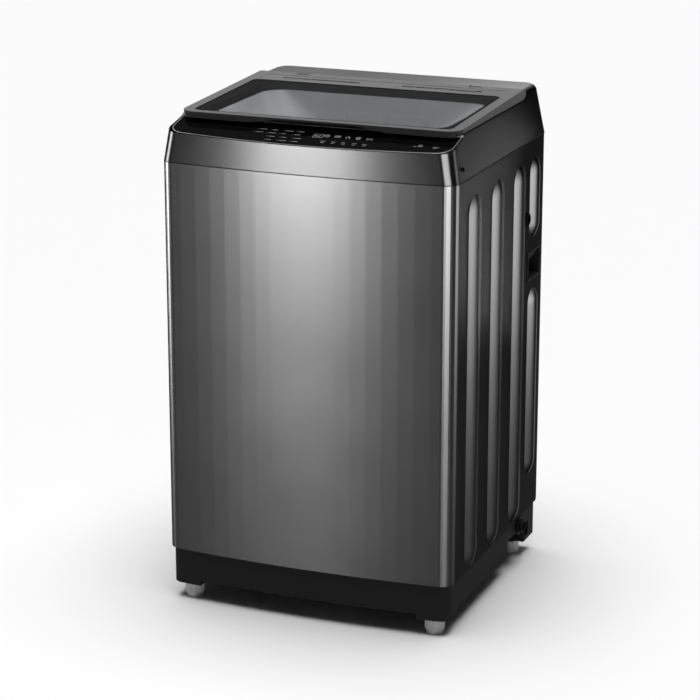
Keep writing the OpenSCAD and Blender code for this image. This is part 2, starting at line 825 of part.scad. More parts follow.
module dispenser_housing() {
  color(grey_plastic) difference() {
    span(drawer_x0 - housing_t, drawer_x1 + housing_t, drawer_y, drawer_y + drawer_l + 8,
         drawer_z0 - housing_t, drawer_z1 + housing_t);
    span(drawer_x0, drawer_x1, drawer_y - 1, drawer_y + drawer_l + 8 - housing_t, drawer_z0, drawer_z1);
    for (i = [0:5]) translate([drawer_x0 + 20 + i * 24, drawer_y + 30, drawer_z0 - housing_t - 1])
      cube([10, 60, housing_t + 2]);
  }
}

tray_x0 = drawer_x0 + drawer_gap;
tray_x1 = drawer_x1 - drawer_gap;
tray_z0 = drawer_z0 + drawer_gap;
tray_z1 = drawer_z1 - 5;
tray_walls = [0.38, 0.7];

module detergent_drawer() {
  color(white_plastic) difference() {
    span(tray_x0, tray_x1, drawer_y, drawer_y + drawer_l, tray_z0, tray_z1);
    for (i = [0:2]) {
      a = i == 0 ? 0 : tray_walls[i - 1];
      b = i == 2 ? 1 : tray_walls[i];
      span(tray_x0 + tray_t / 2 + a * (tray_x1 - tray_x0 - tray_t) + tray_t / 2,
           tray_x0 + tray_t / 2 + b * (tray_x1 - tray_x0 - tray_t) - tray_t / 2,
           drawer_y + tray_t, drawer_y + drawer_l - tray_t, tray_z0 + tray_t, tray_z1 + 1);
    }
  }
}

finger_dip_r = 14;

module drawer_front() {
  color(grey_plastic) difference() {
    span(tray_x0, tray_x1, drawer_y - mouth_t, drawer_y, tray_z0, drawer_z1 - drawer_gap);
    translate([drawer_x, drawer_y - mouth_t - finger_dip_r + 1.2, tray_z0 - 1])
      cylinder(h = drawer_h + 2, r = finger_dip_r);
  }
}

/* Water inlets in a window of the cover's rear wall */
inlet_pitch = 64;
inlet_z = (window_z0 + window_z1) / 2;
inlet_mid_x = (window_x0 + window_x1) / 2;
inlet_y0 = rear_y - 28;
inlet_neck_r = inlet_r - 1.5;
valve_body_l = 38;
valve_body_r = 17;
coil_r = 11;

module inlet_valve(x) {
  translate([x, 0, inlet_z]) {
    rotate([-90, 0, 0]) difference() {
      union() {
        translate([0, 0, inlet_y0]) cylinder(h = 26, r = inlet_r);
        translate([0, 0, inlet_y0 - 2 - valve_body_l]) cylinder(h = valve_body_l, r = valve_body_r);
        translate([0, 0, inlet_y0 - 2]) cylinder(h = 2, r = inlet_neck_r);
      }
      translate([0, 0, inlet_y0 - 10]) cylinder(h = 40, r = inlet_r - 3.5);
    }
    translate([0, inlet_y0 - 22, -valve_body_r - 16]) cylinder(h = 20, r = coil_r);
  }
}

module inlet_valve_cold() { color("#d7dbe0") inlet_valve(inlet_mid_x - inlet_pitch / 2); }

module inlet_valve_hot() { color("#c98f86") inlet_valve(inlet_mid_x + inlet_pitch / 2); }

module valve_bracket() {
  color(zinc) difference() {
    span(window_x0 - 8, window_x1 + 8, inlet_y0 - 2, inlet_y0, window_z0 - 6, window_z1 + 6);
    for (s = [-1, 1]) translate([inlet_mid_x + s * inlet_pitch / 2, inlet_y0 - 3, inlet_z])
      rotate([-90, 0, 0]) cylinder(h = 5, r = inlet_neck_r + run_gap);
  }
}

/* Handle cups pressed into the cabinet's sides */
cup_t = 2;
cup_rim = 3;

module handle_cup() {
  difference() {
    union() {
      grip_hole(-run_gap, side_x - grip_depth, side_x + 0.4);
      intersection() {
        grip_hole(cup_rim, side_x, side_x + 1);
        span(side_x, side_x + 1, front_y, wrap_rear_y - rear_r, 0, big);
      }
    }
    difference() {
      grip_hole(-cup_t, side_x - grip_depth + cup_t, side_x + 2);
      // Finger flap that hangs from the cup's upper edge
      translate([side_x - 3, grip_y - grip_l / 2, grip_z + grip_h / 2]) rotate([0, 20, 0])
        translate([-2, 0, -22]) cube([2, grip_l, 24]);
    }
  }
}

module handle_cup_right() { color(dark_plastic) handle_cup(); }

module handle_cup_left() { color(dark_plastic) mirror([1, 0, 0]) handle_cup(); }

module side_plugs() {
  color(graphite) both_sides() translate([0, plug_y, plug_z]) rotate([0, 90, 0]) difference() {
    union() {
      translate([0, 0, side_x - 6]) cylinder(h = 6, r = plug_shank_r);
      translate([0, 0, side_x]) cylinder(h = 4, r = side_plug_r);
    }
    translate([0, 0, side_x - 3]) cylinder(h = 10, r = side_plug_r - 5);
  }
}

module pressure_sensor() {
  color(white_plastic) {
    translate([-100, wrap_rear_y - 26, seam_z - 80]) rotate([-90, 0, 0]) cylinder(h = 26, r = 24);
    translate([-100, wrap_rear_y - 12, seam_z - 115]) cylinder(h = 14, r = 4);
  }
}

/* Suspension: rods hang in corner brackets and carry the tub on springs */
bracket_z = seam_z - 58;
bracket_t = 3;
bracket_reach = 18;
rod_head_r = 10;
rod_low_z = tub_z + 6;
seat_disc_r = 16;
seat_disc_t = 4;
lug_z = tub_z + 78;
lug_t = 12;
lug_w = 44;
cup_wall = 2;
cup_r = seat_disc_r + 5;
spring_r = 12;
wire_r = 1.6;
spring_turns = 6;
spring_steps = 14;
spring_sides = 6;

module rod_brackets() {
  color(zinc) difference() {
    intersection() {
      prism(body_plan(sheet_t, wrap_rear_y), bracket_z, bracket_z + bracket_t);
      four_corners(rod_x - bracket_reach + side_x / 2, rod_y - bracket_reach + body_d / 4)
        span(-side_x / 2, side_x / 2, -body_d / 4, body_d / 4, 0, big);
    }
    four_corners(rod_x, rod_y) translate([0, 0, bracket_z - 1])
      cylinder(h = bracket_t + 2, r = rod_r + free_gap);
    both_sides() grip_hole(0, 0, side_x);
  }
}

module suspension_rods() {
  color(zinc) four_corners(rod_x, rod_y) {
    translate([0, 0, rod_low_z]) cylinder(h = bracket_z + bracket_t + 6 - rod_low_z, r = rod_r);
    translate([0, 0, bracket_z + bracket_t]) cylinder(h = 6, r = rod_head_r);
    translate([0, 0, rod_low_z]) cylinder(h = seat_disc_t, r = seat_disc_r);
  }
}

spring_z0 = rod_low_z + seat_disc_t;

module coil(z0, z1) {
  n = spring_turns * spring_steps;
  rise = z1 - z0 - 2 * wire_r - 0.4;
  points = [
    for (i = [0:n])
      let(a = i * 360 / spring_steps, z = z0 + wire_r + 0.2 + rise * i / n)
      for (k = [0:spring_sides - 1])
        let(b = k * 360 / spring_sides, d = spring_r + wire_r * cos(b))
        [d * cos(a), d * sin(a), z + wire_r * sin(b)]
  ];
  walls = [
    for (i = [0:n - 1]) for (k = [0:spring_sides - 1])
      let(a = i * spring_sides + k, b = i * spring_sides + (k + 1) % spring_sides)
      [a, a + spring_sides, b + spring_sides, b]
  ];
  ends = [
    [for (k = [0:spring_sides - 1]) k],
    [for (k = [spring_sides - 1:-1:0]) n * spring_sides + k]
  ];
  polyhedron(points, concat(walls, ends), convexity = 8);
}

module suspension_springs() { color(steel) four_corners(rod_x, rod_y) coil(spring_z0, lug_z); }

/* Tub */
tub_top_z = seam_z - 29;
tub_ring_t = 4;
tub_floor_t = 4;
bearing_r = 30;
bearing_h = 18;
shaft_r = 13;
core_r = 7;
lug_angle = atan2(rod_y, rod_x);
lug_reach = norm([rod_x, rod_y]);

module at_lugs() { for (sx = [0, 1]) for (sy = [0, 1]) mirror([sx, 0, 0]) mirror([0, sy, 0]) children(); }

module outer_tub() {
  color("#d8dadb") difference() {
    translate([0, 0, tub_z]) cylinder(h = tub_top_z - tub_z, r = tub_r, $fn = 128);
    translate([0, 0, tub_z + tub_floor_t])
      cylinder(h = tub_top_z - tub_z, r = tub_r - tub_t, $fn = 128);
    translate([0, 0, tub_z - 1]) cylinder(h = tub_floor_t + 2, r = bearing_r + 0.05);
    translate([valve_x, valve_y, tub_z - 1]) cylinder(h = tub_floor_t + 2, r = drain_r);
  }
}

module tub_lugs() {
  color("#d8dadb") difference() {
    at_lugs() difference() {
      rotate(lug_angle) span(tub_r - tub_t, lug_reach + lug_w / 2, -lug_w / 2, lug_w / 2, lug_z,
                             lug_z + lug_t);
      translate([0, 0, lug_z - 1]) cylinder(h = lug_t + 2, r = tub_r + eps, $fn = 128);
    }
    four_corners(rod_x, rod_y) translate([0, 0, lug_z - 1]) cylinder(h = lug_t + 2, r = rod_r + free_gap);
  }
}

module tub_ring() {
  color(grey_plastic) {
    tube(tub_r, balance_r - 2, tub_top_z, tub_top_z + tub_ring_t, $fn = 128);
    tube(tub_r - tub_t - 0.3, tub_r - tub_t - 3, tub_top_z - 8, tub_top_z, $fn = 128);
  }
}

module damper_cups() {
  color(dark_plastic) four_corners(rod_x, rod_y) tube(cup_r, cup_r - cup_wall, lug_z - 44, lug_z);
}

/* Drive under the tub */
plate_t = 4;
plate_z = tub_z - plate_t;
gear_r = 60;
gear_z = plate_z - 58;
motor_r = 54;
motor_z = plate_z - 56;
belt_h = 8;
belt_t = 5;
belt_z = gear_z - 18;
flange_h = 3;
flange_r = 6;
motor_shaft_r = 6;
input_r = 8;

module support_plate() {
  color(zinc) difference() {
    span(-motor_r - 20, motor_r + 20, -motor_offset - motor_r - 6, gear_r + 30, plate_z, tub_z);
    translate([0, 0, plate_z - 1]) cylinder(h = plate_t + 2, r = bearing_r + 2);
  }
}

module gear_case() {
  color("#8c9093") difference() {
    union() {
      translate([0, 0, gear_z]) cylinder(h = plate_z - gear_z, r = gear_r - 10);
      translate([0, 0, plate_z - 12]) cylinder(h = 12, r = gear_r);
      for (i = [0:7]) rotate(i * 45) span(gear_r - 14, gear_r - 4, -2, 2, gear_z + 8, plate_z - 11);
    }
    translate([0, 0, gear_z + 16]) cylinder(h = 60, r = shaft_r + 1);
    translate([0, 0, gear_z - 1]) cylinder(h = 15, r = input_r + run_gap);
  }
}

module motor_body() {
  color("#4c5054") translate([0, -motor_offset, 0]) difference() {
    union() {
      translate([0, 0, motor_z]) cylinder(h = 44, r = motor_r);
      translate([0, 0, motor_z + 44]) cylinder(h = 12, r = motor_r - 10);
      for (i = [0:11]) rotate(i * 30) span(motor_r - 2, motor_r + 3, -2, 2, motor_z + 6, motor_z + 38);
    }
    translate([0, 0, motor_z - 1]) cylinder(h = 20, r = motor_shaft_r + run_gap);
  }
}

module pulley(r, bore_r, shaft_top) {
  translate([0, 0, belt_z - flange_h - 1]) cylinder(h = belt_h + 2 * flange_h + 2, r = r);
  for (z = [belt_z - flange_h - 1, belt_z + belt_h + 1]) translate([0, 0, z]) cylinder(h = flange_h, r = r + flange_r);
  translate([0, 0, belt_z - flange_h - 6]) cylinder(h = shaft_top - belt_z + flange_h + 6, r = bore_r);
}

module drive_pulley() {
  color(zinc) difference() {
    pulley(drive_pulley_r, input_r, gear_z + 13);
    for (i = [0:4]) rotate(i * 72) translate([drive_pulley_r * 0.6, 0, belt_z - 10])
      cylinder(h = 40, r = drive_pulley_r * 0.2);
  }
}

module motor_pulley() {
  color(zinc) translate([0, -motor_offset, 0]) pulley(motor_pulley_r, motor_shaft_r, motor_z + 18);
}

module belt_loop(r_out, z0, z1) {
  translate([0, 0, z0]) linear_extrude(z1 - z0) hull() {
    circle(r = drive_pulley_r + r_out, $fn = 96);
    translate([0, -motor_offset]) circle(r = motor_pulley_r + r_out, $fn = 64);
  }
}

module drive_belt() {
  color(rubber_black) difference() {
    belt_loop(0.6 + belt_t, belt_z, belt_z + belt_h);
    belt_loop(0.6, belt_z - 1, belt_z + belt_h + 1);
  }
}

plunger_r = 9;
plunger_l = 42;
plunger_z = tub_z - valve_h / 2;

module drain_valve() {
  color("#d8dadb") difference() {
    union() {
      span(valve_x - valve_half, valve_x + valve_half, valve_y - valve_half, valve_y + valve_half,
           tub_z - valve_h, tub_z);
      translate([valve_x, valve_y, tub_z - valve_h - nozzle_l]) cylinder(h = nozzle_l, r = drain_r);
    }
    translate([valve_x, valve_y, tub_z - valve_h - nozzle_l - 1])
      cylinder(h = valve_h + nozzle_l + 2, r = drain_r - 3);
    translate([valve_x - valve_half - 1, valve_y, plunger_z]) rotate([0, 90, 0])
      cylinder(h = valve_half + 14, r = plunger_r + 0.3);
  }
}

module drain_plunger() {
  color(zinc) translate([valve_x - 30, valve_y, plunger_z]) rotate([0, 90, 0]) {
    cylinder(h = plunger_l, r = plunger_r);
    translate([0, 0, -8]) cylinder(h = 8, r = plunger_r + 5);
  }
}

module tub_bearing() {
  color(steel) tube(bearing_r, shaft_r + run_gap, tub_z - 2, tub_z + bearing_h);
}

module shaft_seal() {
  color(rubber_black) tube(bearing_r - 6, shaft_r + run_gap, tub_z + bearing_h, tub_z + bearing_h + 6);
}

/* Basket */
hub_z = tub_z + bearing_h + 8;
hub_t = 6;
basket_floor_z = hub_z + hub_t;
basket_floor_t = 6;
drum_z0 = basket_floor_z + basket_floor_t;
drum_z1 = tub_top_z - 62;
ring_z1 = tub_top_z - 12;
hole_r = 1.8;
hole_cols = 24;
hole_rows = 5;
filter_w = 84;
filter_d = 22;
filter_h = 190;
filter_z = drum_z0 + 110;
filter_x1 = sqrt(pow(basket_r - basket_t, 2) - filter_w * filter_w / 4) - 1;

module basket_drum() {
  color(steel) difference() {
    tube(basket_r, basket_r - basket_t, drum_z0, drum_z1, $fn = 128);
    for (j = [0:hole_rows - 1]) for (i = [0:hole_cols - 1])
      translate([0, 0, drum_z0 + 40 + j * (drum_z1 - drum_z0 - 80) / (hole_rows - 1)])
        rotate((i + 0.5) * 360 / hole_cols) translate([basket_r - basket_t - 2, 0, 0]) rotate([0, 90, 0])
          cylinder(h = basket_t + 4, r = hole_r, $fn = 16);
  }
}

module basket_base() {
  color(white_plastic) difference() {
    union() {
      translate([0, 0, basket_floor_z]) cylinder(h = basket_floor_t, r = basket_r, $fn = 128);
      tube(basket_r - basket_t - 0.2, basket_r - basket_t - 3, drum_z0, drum_z0 + 24, $fn = 128);
    }
    translate([0, 0, basket_floor_z - 1]) cylinder(h = basket_floor_t + 2, r = shaft_r);
    for (i = [0:15]) rotate(i * 22.5) translate([pulsator_r + 26, 0, basket_floor_z - 1])
      cylinder(h = basket_floor_t + 2, r = 5, $fn = 24);
  }
}

module basket_hub() {
  color("#b9bcbe") difference() {
    union() {
      translate([0, 0, hub_z]) cylinder(h = hub_t, r = 52);
      for (i = [0:2]) rotate(i * 120) span(30, basket_r - 12, -20, 20, hub_z, hub_z + hub_t);
      translate([0, 0, gear_z + 24]) cylinder(h = hub_z - gear_z - 24, r = shaft_r);
    }
    translate([0, 0, gear_z]) cylinder(h = 200, r = core_r + run_gap);
  }
}

module balance_ring() {
  color(grey_plastic) tube(basket_r, balance_r, drum_z1, ring_z1, $fn = 128);
}

module lint_filter() {
  difference() {
    span(filter_x1 - filter_d, filter_x1, -filter_w / 2, filter_w / 2, filter_z, filter_z + filter_h);
    span(filter_x1 - filter_d + 2, filter_x1 + 1, -filter_w / 2 + 2, filter_w / 2 - 2,
         filter_z + 2, filter_z + filter_h - 2);
    for (i = [0:7]) for (s = [-1, 1])
      translate([filter_x1 - filter_d - 1, s * 18 - 14, filter_z + 22 + i * 19]) cube([4, 28, 9]);
  }
}

module lint_filter_right() { color(white_plastic) lint_filter(); }

module lint_filter_left() { color(white_plastic) mirror([1, 0, 0]) lint_filter(); }

/* Pulsator on the inner shaft */
pulsator_z = drum_z0 + 4;
vanes = 6;
vane_h = 16;
skirt_h = 9;

module pulsator() {
  color(white_plastic) difference() {
    union() {
      translate([0, 0, pulsator_z]) cylinder(h = skirt_h, r = pulsator_r, $fn = 128);
      translate([0, 0, pulsator_z + skirt_h]) cylinder(h = vane_h, r1 = 46, r2 = 30);
      for (i = [0:vanes - 1]) rotate(i * 360 / vanes)
        span(26, pulsator_r - 16, -7, 7, pulsator_z + skirt_h - 1, pulsator_z + skirt_h + vane_h - 5);
      translate([0, 0, gear_z + 20]) cylinder(h = pulsator_z - gear_z - 20, r = core_r);
    }
    translate([0, 0, pulsator_z + skirt_h + vane_h - 6]) cylinder(h = 10, r = 20);
  }
}

module pulsator_cap() {
  color(grey_plastic) translate([0, 0, pulsator_z + skirt_h + vane_h - 6]) {
    cylinder(h = 4, r = 20 - 0.3);
    translate([0, 0, 4]) cylinder(h = 3, r1 = 18, r2 = 12);
  }
}

cabinet_shell();
rear_panel();
rear_panel_screws();
base_frame();
rear_feet();
lock_nuts();
front_foot_left();
front_foot_right();
top_cover();
mouth_moulding();
control_panel_glass();
control_panel_trim();
control_board_case();
control_board();
lid_frame();
lid_glass();
lid_rear_grille();
lid_bumpers();
lid_lock();
hinge_blocks();
hinge_pins();
dispenser_housing();
detergent_drawer();
drawer_front();
inlet_valve_cold();
inlet_valve_hot();
valve_bracket();
cord_gland();
drain_outlet();
drain_hose();
handle_cup_left();
handle_cup_right();
side_plugs();
cover_plugs();
pressure_sensor();
rod_brackets();
suspension_rods();
suspension_springs();
outer_tub();
tub_lugs();
tub_ring();
damper_cups();
support_plate();
gear_case();
motor_body();
motor_pulley();
drive_pulley();
drive_belt();
drain_valve();
drain_plunger();
tub_bearing();
shaft_seal();
basket_drum();
basket_base();
basket_hub();
balance_ring();
lint_filter_left();
lint_filter_right();
pulsator();
pulsator_cap();
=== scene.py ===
# %% [markdown]
# # A top load washing machine
# The machine is a steel cabinet on a dark plastic base, closed by a moulded top cover with a slanted
# glass control panel and a hinged glass lid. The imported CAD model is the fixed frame. This file gives
# each piece its finish, and makes the pieces whose surface needs more than the CAD solid holds.

# %% Load the frame
import json
import math

import bmesh
import bpy
from mathutils import Matrix, Vector


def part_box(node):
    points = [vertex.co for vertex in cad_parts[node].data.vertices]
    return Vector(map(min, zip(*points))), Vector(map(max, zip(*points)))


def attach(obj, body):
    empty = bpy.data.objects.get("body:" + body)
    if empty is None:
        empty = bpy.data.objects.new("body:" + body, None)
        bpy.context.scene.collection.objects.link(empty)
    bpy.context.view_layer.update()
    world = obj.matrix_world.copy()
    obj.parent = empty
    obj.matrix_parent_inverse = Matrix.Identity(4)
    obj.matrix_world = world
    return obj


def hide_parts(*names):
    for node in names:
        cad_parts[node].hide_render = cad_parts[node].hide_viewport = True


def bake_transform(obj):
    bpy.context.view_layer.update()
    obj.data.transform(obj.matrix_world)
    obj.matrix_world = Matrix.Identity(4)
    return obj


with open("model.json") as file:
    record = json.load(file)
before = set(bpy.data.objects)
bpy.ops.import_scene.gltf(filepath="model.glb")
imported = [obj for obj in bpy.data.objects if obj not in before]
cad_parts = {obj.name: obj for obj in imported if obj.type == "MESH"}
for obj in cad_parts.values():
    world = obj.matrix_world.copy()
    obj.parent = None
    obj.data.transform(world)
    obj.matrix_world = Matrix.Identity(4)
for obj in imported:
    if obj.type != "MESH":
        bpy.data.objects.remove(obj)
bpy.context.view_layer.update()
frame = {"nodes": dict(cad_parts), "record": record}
nodes = frame["nodes"]
body_of = {node: body for body, members in frame["record"]["behaviour"]["bodies"].items()
           for node in members}
slot_of = {part["node"]: part["material_slot"] for part in frame["record"]["subparts"]}

MM = 0.001  # one millimetre, in the frame's metres

# %% [markdown]
# ## Camera
# A machine of this kind is shown from a little above and from its front right corner, so that the
# bowed front, the ribs on its side and the lid all read. A long lens keeps the upright edges nearly
# parallel.

# %% The camera
CAMERA_PLACE = (1.766, -4.44, 1.898)
CAMERA_TURN = 21.841
CAMERA_TILT = 16.546
CAMERA_LENS = 127.41
SENSOR_WIDE = 36

camera_data = bpy.data.cameras.new("camera")
camera_data.lens = CAMERA_LENS
camera_data.sensor_width = SENSOR_WIDE
camera = bpy.data.objects.new("camera", camera_data)
camera.location = CAMERA_PLACE
camera.rotation_euler = (math.radians(90 - CAMERA_TILT), 0, math.radians(CAMERA_TURN))
bpy.context.scene.collection.objects.link(camera)
bpy.context.scene.camera = camera
print("camera at", CAMERA_PLACE)

# %% [markdown]
# ## Colours and nodes
# Colours are read as the sRGB values of a paint chart and turned to linear light by one function. A
# second small function adds a shader node with its settings and its links.


# %% Two helpers for materials
def linear(hex_colour):
    """Turns an sRGB hex colour into the linear RGBA that the shader works in."""
    channels = [int(hex_colour[i:i + 2], 16) / 255 for i in (1, 3, 5)]
    return tuple([c / 12.92 if c <= 0.04045 else ((c + 0.055) / 1.055) ** 2.4 for c in channels] + [1.0])


def add(tree, kind, settings=None, **links):
    """Adds a node. Settings are attributes, and links are inputs: a value, or another node's socket."""
    node = tree.nodes.new(kind)
    for name, value in (settings or {}).items():
        setattr(node, name, value)
    for name, value in links.items():
        socket = node.inputs[int(name[1:])] if name[1:].isdigit() else node.inputs[name.replace("_", " ")]
        if isinstance(value, bpy.types.NodeSocket):
            tree.links.new(value, socket)
        else:
            socket.default_value = value
    return node


BROAD_SCALE = 9.0  # broad unevenness, about 110 mm across
GLOSS_DRIFT = 0.08  # how far the roughness drifts across it


def finish(name, colour, metallic=0.0, roughness=0.5, grain=None, grain_depth=0.0, stretch=(1, 1, 1),
           sockets=None, tone=0.0):
    """A surface with its own colour, a grain of a real size in millimetres, and a little uneven gloss."""
    material = bpy.data.materials.new(name)
    material.use_nodes = True
    tree = material.node_tree
    shader = tree.nodes["Principled BSDF"]
    shader.inputs["Base Color"].default_value = linear(colour)
    shader.inputs["Metallic"].default_value = metallic
    shader.inputs["Roughness"].default_value = roughness
    for socket, value in (sockets or {}).items():
        shader.inputs[socket].default_value = value
    place = add(tree, "ShaderNodeTexCoord")
    broad = add(tree, "ShaderNodeTexNoise", Vector=place.outputs["Object"], Scale=BROAD_SCALE, Detail=3.0)
    uneven = add(tree, "ShaderNodeMapRange", _0=broad.outputs[0],
                 _3=roughness * (1 - GLOSS_DRIFT), _4=roughness * (1 + GLOSS_DRIFT))
    tree.links.new(uneven.outputs[0], shader.inputs["Roughness"])
    if tone:
        dark = tuple(c * (1 - tone) for c in linear(colour)[:3]) + (1.0,)
        light = tuple(min(1.0, c * (1 + tone)) for c in linear(colour)[:3]) + (1.0,)
        mix = add(tree, "ShaderNodeMix", {"data_type": "RGBA"}, _0=broad.outputs[0], _6=dark, _7=light)
        tree.links.new(mix.outputs[2], shader.inputs["Base Color"])
    if grain:
        sized = add(tree, "ShaderNodeMapping", Vector=place.outputs["Object"], Scale=stretch)
        fine = add(tree, "ShaderNodeTexNoise", Vector=sized.outputs[0], Scale=1 / (grain * MM), Detail=2.0)
        bump = add(tree, "ShaderNodeBump", Height=fine.outputs[0], Strength=grain_depth, Distance=grain * MM)
        tree.links.new(bump.outputs[0], shader.inputs["Normal"])
    return material


# %% [markdown]
# ## Finishes
# The cabinet is pre-coated steel: a graphite paint full of fine metal flake, rolled flat, with a very
# fine sideways hairline that draws each highlight out upwards. The mouldings of the cover are painted
# to match it. The lid and the base are darker ABS and polypropylene with a fine spark texture.

# %% Outer finishes
HAIRLINE = {"Anisotropic": 0.75, "Anisotropic Rotation": 0.25}
# Flake paint is metallic with a dim edge, rolled flat, and its highlights are drawn out upwards
graphite_steel = finish("graphite_coated_steel", "#2c2c2c", metallic=1.0, roughness=0.29, grain=0.5,
                        grain_depth=0.03, stretch=(0.1, 0.1, 1.0),
                        sockets=HAIRLINE | {"Specular Tint": (0.35, 0.35, 0.35, 1.0)})
graphite_abs = finish("graphite_painted_abs", "#1d1d1d", metallic=1.0, roughness=0.29, grain=0.4,
                      grain_depth=0.02, sockets=HAIRLINE | {"Specular Tint": (0.4, 0.4, 0.4, 1.0)})
for painted in (graphite_steel, graphite_abs):
    tree = painted.node_tree
    round_z = add(tree, "ShaderNodeTangent", {"direction_type": "RADIAL", "axis": "Z"})
    tree.links.new(round_z.outputs[0], tree.nodes["Principled BSDF"].inputs["Tangent"])
# Moulded satin plastics scatter wide and mirror little
lid_abs = finish("dark_satin_abs", "#3e3e3e", roughness=0.34, grain=0.5, grain_depth=0.03,
                 sockets={"Specular IOR Level": 0.05})
# Back-painted toughened glass is black and mirror smooth, and its trim is fine silver paint
panel_black = finish("black_backed_glass", "#030304", roughness=0.05, sockets={"IOR": 1.52})
trim_silver = finish("satin_silver_paint", "#8e9194", metallic=0.9, roughness=0.3)
# Polypropylene of the base has a coarse spark texture
base_pp = finish("near_black_polypropylene", "#272727", roughness=0.6, grain=0.6, grain_depth=0.12,
                 sockets={"Specular IOR Level": 0.02})
# Nylon feet, black rubber and screen-printed ink are matt
foot_pp = finish("mid_grey_nylon", "#cfcfcf", roughness=0.45, grain=0.6, grain_depth=0.1)
rubber = finish("black_rubber", "#0c0c0d", roughness=0.7, grain=0.8, grain_depth=0.2,
                sockets={"Specular IOR Level": 0.15})
legend_ink = finish("printed_grey_ink", "#a9abad", roughness=0.5, tone=0.1)

# %% [markdown]
# Inside, the moulded pieces are pale polypropylene, the basket is brushed stainless steel, and the drive
# is zinc-plated, cast and enamelled metal. The valves' caps tell cold from hot by their colour.

# %% Inner finishes
light_pp = finish("light_grey_polypropylene", "#cbcccd", roughness=0.3)
white_pp = finish("white_polypropylene", "#e2e3e1", roughness=0.38, grain=0.8, grain_depth=0.05)
tub_pp = finish("filled_polypropylene", "#c9cbcb", roughness=0.5, grain=0.9, grain_depth=0.1)
stainless = finish("brushed_stainless_steel", "#c3c6c9", metallic=1.0, roughness=0.28, grain=0.4,
                   grain_depth=0.08, stretch=(0.05, 0.05, 1.0))
zinc = finish("zinc_plated_steel", "#a8acb0", metallic=1.0, roughness=0.36, grain=3.0,
              grain_depth=0.04, tone=0.12)
cast = finish("die_cast_aluminium", "#9fa2a5", metallic=1.0, roughness=0.5, grain=0.7, grain_depth=0.25)
motor_paint = finish("dark_enamelled_steel", "#3c4043", metallic=0.3, roughness=0.4, grain=0.9,
                     grain_depth=0.08)
board = finish("green_solder_resist", "#235c36", roughness=0.35)
cold_pp = finish("pale_blue_acetal", "#b7c6d8", roughness=0.4)
hot_pp = finish("pale_red_acetal", "#cf8c80", roughness=0.4)

# %% [markdown]
# The lid's glass is toughened soda lime glass, lightly smoked, with polished faces.

# %% Clear glass
smoked_glass = finish("smoked_soda_lime_glass", "#e3e6e8", roughness=0.02,
                      sockets={"IOR": 1.5, "Transmission Weight": 1.0})

FINISH_OF_SLOT = {
    "cabinet_paint": graphite_steel, "cover_plastic": graphite_abs, "lid_plastic": lid_abs,
    "panel_glass": panel_black, "lid_glass": smoked_glass, "base_plastic": base_pp,
    "light_plastic": light_pp, "white_plastic": white_pp, "tub_plastic": tub_pp,
    "trim_metal": trim_silver, "zinc_steel": zinc, "stainless": stainless, "cast_alloy": cast,
    "rubber": rubber, "foot_plastic": foot_pp, "board_green": board, "motor_paint": motor_paint,
    "valve_blue": cold_pp, "valve_red": hot_pp,
}
for name, obj in nodes.items():
    obj.data.materials.clear()
    obj.data.materials.append(FINISH_OF_SLOT[slot_of[name]])
print(len(FINISH_OF_SLOT), "finishes on", len(nodes), "CAD pieces")

# %% [markdown]
# ## Moulded and pressed edges
# No moulded, pressed or cut edge is sharp. A copy of each CAD solid has its loose triangles joined
# back into faces, its edges rounded by the radius that such a piece has, and smooth shading between
# its sharp lines. The copy takes the CAD solid's place.


# %% Round a piece's edges
SHARP_FROM = 32  # degrees between faces, past which an edge is sharp and gets its radius
CURVE_SHARP_FROM = 12  # the same for a pressed shell whose own curves stay as they are
MERGE_WITHIN = 0.02 * MM
FLAT_WITHIN = 0.4  # degrees


def settle(obj, sharp=SHARP_FROM):
    """Turns an object with modifiers into a plain mesh, smooth except across sharp edges."""
    graph = bpy.context.evaluated_depsgraph_get()
    mesh = bpy.data.meshes.new_from_object(obj.evaluated_get(graph), preserve_all_data_layers=True,
                                           depsgraph=graph)
    obj.modifiers.clear()
    obj.data = mesh
    if not mesh.has_custom_normals:
        mesh.shade_smooth()
        mesh.set_sharp_from_angle(angle=math.radians(sharp))
    return obj


def rounded(node, radius, own=True):
    """A copy of a CAD piece with its edges rounded by a radius in millimetres."""
    source = nodes[node]
    mesh = bpy.data.meshes.new(node + "_finished")
    shape = bmesh.new()
    shape.from_mesh(source.data)
    bmesh.ops.remove_doubles(shape, verts=shape.verts, dist=MERGE_WITHIN)
    bmesh.ops.dissolve_limit(shape, angle_limit=math.radians(FLAT_WITHIN), verts=shape.verts,
                             edges=shape.edges)
    shape.to_mesh(mesh)
    shape.free()
    obj = bpy.data.objects.new(node + "_finished", mesh)
    bpy.context.scene.collection.objects.link(obj)
    mesh.materials.clear()
    mesh.materials.append(FINISH_OF_SLOT[slot_of[node]])
    if radius:
        bevel = obj.modifiers.new("edges", "BEVEL")
        bevel.width = radius * MM
        bevel.segments = 2
        bevel.limit_method = "ANGLE"
        bevel.angle_limit = math.radians(SHARP_FROM)
        bevel.miter_outer = "MITER_ARC"
        mesh.shade_smooth()
        level = obj.modifiers.new("level", "WEIGHTED_NORMAL")
        level.weight = 100
        level.keep_sharp = True
    settle(obj, SHARP_FROM if radius else CURVE_SHARP_FROM)
    if own:
        stand_for(obj, node)
    return obj


def stand_for(obj, node):
    """Lets a piece ride with and replace its CAD solid."""
    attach(obj, body_of[node])
    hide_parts(node)


